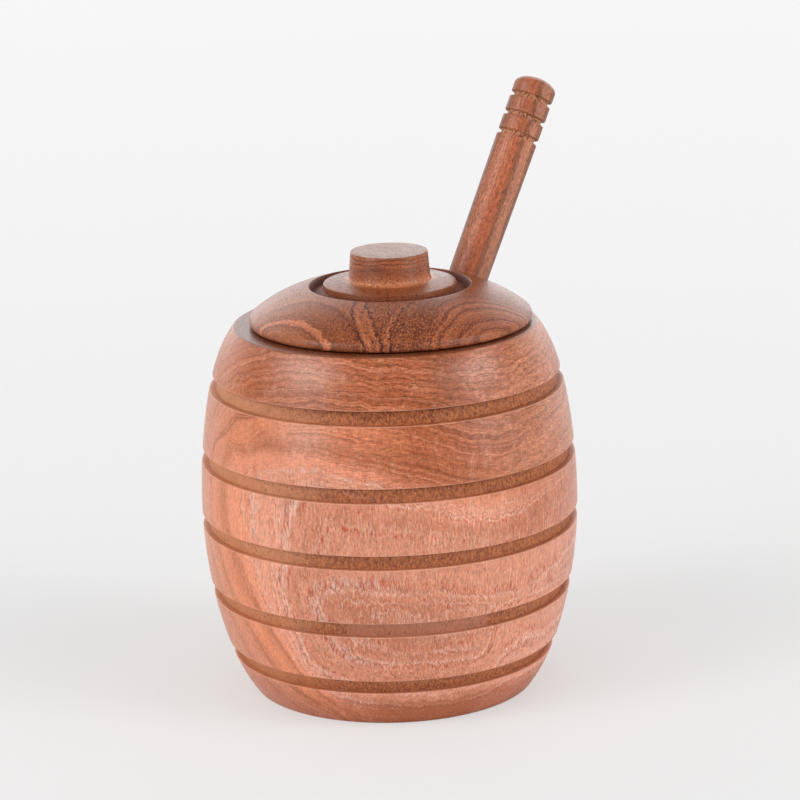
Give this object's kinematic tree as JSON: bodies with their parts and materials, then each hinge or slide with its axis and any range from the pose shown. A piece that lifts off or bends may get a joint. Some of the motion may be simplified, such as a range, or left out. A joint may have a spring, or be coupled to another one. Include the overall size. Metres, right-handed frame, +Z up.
{
  "type": "honey pot",
  "caption": "Turned wooden honey pot of barrel form with cut grooves, a domed lift-off lid with a round knob, and a honey dipper that leans out through the lid.",
  "frame": {"origin": "centre of the pot's flat foot, on the surface that it stands on", "axes": "+Z up along the pot's turning axis; the dipper leans out towards +X and +Y, 41 degrees round from +X"},
  "size_m": [0.1, 0.1, 0.1573],
  "materials": {
    "pot_wood": "satin varnish",
    "lid_wood": "satin varnish",
    "dipper_wood": "satin varnish"
  },
  "bodies": {
    "pot": {"pot_body": "pot_wood"},
    "lid": {"lid": "lid_wood"},
    "dipper": {"dipper": "dipper_wood"}
  },
  "joints": [
    {"name": "lid_lift", "type": "slide", "parent": "pot", "child": "lid", "axis": [0, 0, 1], "range_m": [0, 0.1]},
    {"name": "dipper_draw", "type": "slide", "parent": "lid", "child": "dipper", "axis": [0.3593, 0.3069, 0.8813], "range_m": [0, 0.055]}
  ]
}
